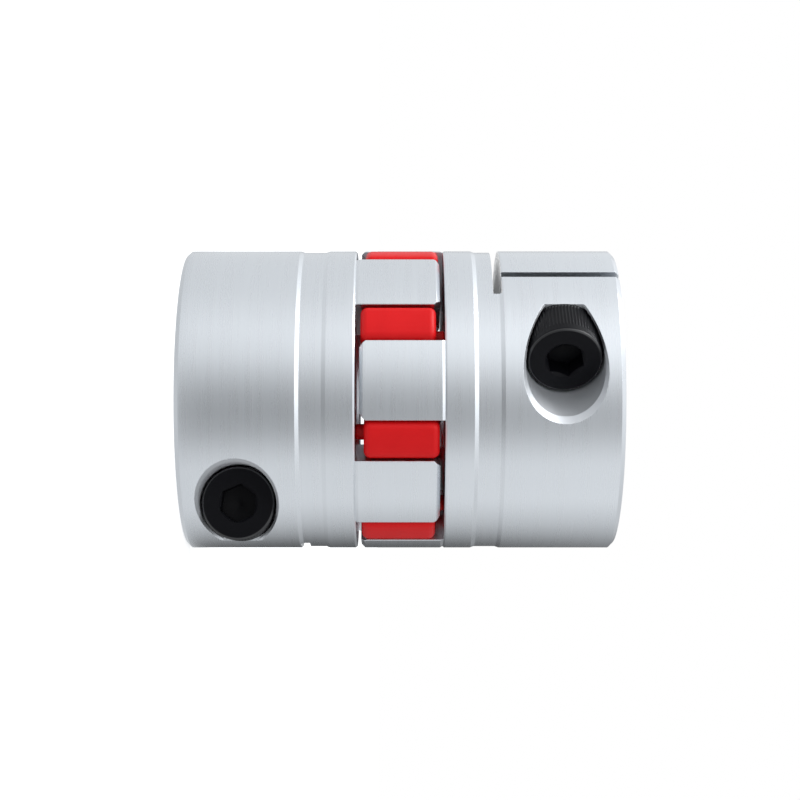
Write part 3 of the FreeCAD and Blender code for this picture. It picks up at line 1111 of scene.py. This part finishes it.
@dataclass
class Studio:
    """White sweep, soft boxes round the coupling and the camera of the photograph.

    Angles round the coupling are counted from the camera towards the picture's top. The picture's
    right is up.
    """

    layout: Layout
    camera_angle: float = -84.84
    camera_distance: float = 0.352
    camera_drop: float = 0.000105
    lens: float = 85.0
    sensor: float = 36.0
    clip: tuple[float, float] = (0.01, 50.0)
    floor_radius: float = 3.0
    floor_shade: float = 0.60
    floor_glow: float = 0.62
    floor_widen: float = 0.75
    floor_near: float = 0.7
    tint: tuple[float, float, float, float] = (0.955, 0.98, 1.0, 1.0)
    ring: tuple[tuple[float, float], ...] = (
        (-180, 0.08), (-150, 0.12), (-138, 0.20), (-122, 0.40), (-106, 0.60), (-84, 0.80),
        (-48, 0.77), (-34, 0.60), (-22, 0.42), (-8, 0.335), (4, 0.37), (16, 0.51), (32, 0.75),
        (50, 0.88), (84, 0.79), (122, 0.80), (158, 0.78), (180, 0.08),
    )
    ring_tilt: float = 1.2
    side_edges: tuple[float, float] = (0.17, 0.57)
    side_level: float = 1.0
    side_swing: float = 0.45
    side_angle: float = 60.0
    under_level: float = 25.0
    under_power: float = 6.0
    under_angle: float = -142.0
    under_fade: float = 4.0
    front_level: float = 0.55
    front_power: float = 7.0
    front_angle: float = 26.0
    front_rise: float = 36.0
    key_power: float = 3.2
    key_size: float = 0.35
    key_distance: float = 0.8
    key_angle: float = 85.0
    key_rise: float = 50.0

    def around(self, angle: float) -> Vector:
        """Level direction at an angle round the coupling."""
        turn = math.radians(self.camera_angle - angle)
        return Vector((math.cos(turn), math.sin(turn), 0.0))

    def raised(self, angle: float, rise: float) -> Vector:
        """Direction at an angle round the coupling and a rise above the level."""
        tilt = math.radians(rise)
        return self.around(angle) * math.cos(tilt) + UP * math.sin(tilt)

    @property
    def middle(self) -> Vector:
        """Middle of the coupling."""
        return UP * (self.layout.length / 2 * MM)

    def camera(self) -> None:
        """Camera square to the axis and rolled, so that the coupling lies along the picture."""
        data = bpy.data.cameras.new("camera")
        data.lens = self.lens
        data.sensor_width = self.sensor
        data.clip_start, data.clip_end = self.clip
        eye = shown("camera", data)
        back, up = self.around(0.0), self.around(90.0)
        turn = Matrix((up.cross(back), up, back)).transposed().to_4x4()
        stand = self.middle + back * self.camera_distance - up * self.camera_drop
        eye.matrix_world = Matrix.Translation(stand) @ turn
        bpy.context.scene.camera = eye

    @staticmethod
    def facing(way: Signal, direction: Vector) -> Signal:
        """Part of a direction that lies along another one."""
        feed = {0: way, 1: tuple(direction)}
        return way.shader.node("VectorMath", feed, "Value", operation="DOT_PRODUCT")

    def glow(self, way: Signal, direction: Vector, power: float) -> Signal:
        """Round light about a direction: a power of the cosine to it."""
        return self.facing(way, direction).at_least(0.0) ** power

    def soft_boxes(self, way: Signal, widen: Signal | float = 1.0) -> Signal:
        """Light from the soft boxes round the coupling, by the widened angle of a direction."""
        up, back = (self.facing(way, self.around(angle)) for angle in (90.0, 0.0))
        place = up.angle_from(back) * widen * (0.5 / math.pi) + 0.5
        stops = [(turn / 360 + 0.5, level) for turn, level in self.ring]
        return way.shader.node("ValToRGB", {0: place}, stops=stops)

    def floor(self) -> None:
        """White floor that takes the coupling's shadow. Metal mirrors the soft boxes in it."""
        rim = swept(self.floor_radius, round_angles(96), 0.0)
        mesh = bpy.data.meshes.new("floor")
        mesh.from_pydata(rim.tolist(), [], [list(range(len(rim)))])
        ground = shown("floor", mesh)
        material = bpy.data.materials.new("white_floor")
        shader = Shader(material)
        seen = shader.node("LightPath", output="Is Camera Ray")
        mirrored = shader.node("LightPath", output="Is Glossy Ray")
        through = shader.node("LightPath", output="Is Transmission Ray")
        shade = (self.floor_shade,) * 3 + (1.0,)
        matt = shader.node("BsdfDiffuse", {"Color": shade})
        lit = {"Strength": (seen + through) * self.floor_glow}
        glow = shader.node("Emission", lit)
        both = shader.node("AddShader", {0: matt, 1: glow})
        place = shader.node("TexCoord", output="Object")
        x, y, _ = shader.place
        foot = self.layout.outer_radius**2
        near = (x * x + y * y).at_least(foot) ** -1.0 * foot
        far = 1.0 - near * near
        boxes = self.soft_boxes(place, near * self.floor_widen + 1.0)
        strength = boxes * far + (1.0 - far) * self.floor_near
        glare = {"Color": self.tint, "Strength": strength}
        mirror = shader.node("Emission", glare)
        skin = shader.node("MixShader", {0: mirrored, 1: both, 2: mirror})
        shader.node("OutputMaterial", {"Surface": skin})
        mesh.materials.append(material)

    def world(self) -> None:
        """Soft boxes all round, a little brighter upwards, and a wide one high up.

        The wide box fades in by a smooth step of the direction's rise. A box in front is a power of
        the cosine to its own direction. So is a faint one from below, which grows with the rise
        squared and fades out again in a straight line.
        """
        world = bpy.data.worlds.new("studio")
        bpy.context.scene.world = world
        shader = Shader(world)
        way = shader.node("TexCoord", output="Generated")
        rise = self.facing(way, UP)
        low, high = self.side_edges
        fade = {0: rise, 1: low, 2: high}
        share = shader.node("MapRange", fade, interpolation_type="SMOOTHSTEP")
        under = self.glow(way, self.around(self.under_angle), self.under_power)
        under = under * rise * rise * (1.0 - rise * self.under_fade).at_least(0.0)
        ring = self.soft_boxes(way) * (rise * self.ring_tilt + 1.0) + under * self.under_level
        wide = self.facing(way, self.around(self.side_angle)) * self.side_swing + self.side_level
        front = self.glow(way, self.raised(self.front_angle, self.front_rise), self.front_power)
        level = ring * (1.0 - share) + wide * share + front * self.front_level
        light = shader.node("Background", {"Color": self.tint, "Strength": level})
        white = shader.node("Background", {"Color": (1.0,) * 4, "Strength": 1.0})
        seen = shader.node("LightPath", output="Is Camera Ray")
        mixed = shader.node("MixShader", {0: seen, 1: light, 2: white})
        shader.node("OutputWorld", {"Surface": mixed})

    def key_light(self) -> None:
        """Soft box above the camera's right."""
        data = bpy.data.lights.new("key", "AREA")
        data.energy = self.key_power
        data.shape = "SQUARE"
        data.size = self.key_size
        lamp = shown("key", data)
        way = self.raised(self.key_angle, self.key_rise)
        lamp.location = self.middle + way * self.key_distance
        lamp.rotation_mode = "QUATERNION"
        lamp.rotation_quaternion = way.to_track_quat("Z", "Y")

    def build(self) -> None:
        """Set the whole studio up."""
        self.camera()
        self.floor()
        self.world()
        self.key_light()
        bpy.context.scene.view_settings.view_transform = "Standard"


@dataclass
class Coupling:
    """The whole coupling: where its parts stand, and what they are made as."""

    layout: Layout
    lower_screw_turn: float = -7.0
    upper_screw_turn: float = 12.0

    def screw(self, node: str, hub: Matrix, turn: float) -> Piece:
        """Clamp screw on its seat in a hub, with its hexagon turned about its own axis."""
        spin = Matrix.Rotation(math.radians(turn), 4, "Z")
        return ClampScrew(node, hub @ self.layout.seat() @ spin).build()

    def build(self) -> list[Piece]:
        """Make every piece."""
        lower = Matrix.Identity(4)
        upper = self.layout.upper_place()
        middle = Matrix.Translation((0.0, 0.0, self.layout.length / 2))
        return [
            ClampingHub("lower_hub", lower, self.layout).build(),
            ClampingHub("upper_hub", upper, self.layout).build(),
            Spider("spider", middle, self.layout).build(),
            self.screw("lower_clamp_screw", lower, self.lower_screw_turn),
            self.screw("upper_clamp_screw", upper, self.upper_screw_turn),
        ]


def main() -> None:
    """Load the frame, dress the coupling and light it."""
    logging.basicConfig(level=logging.INFO, format="%(name)s: %(message)s")
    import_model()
    layout = Layout.from_frame()
    LOG.info("frame: %s", layout)
    pieces = Coupling(layout).build()
    LOG.info("%d pieces made", len(pieces))
    Studio(layout).build()


if __name__ == "__main__":
    main()
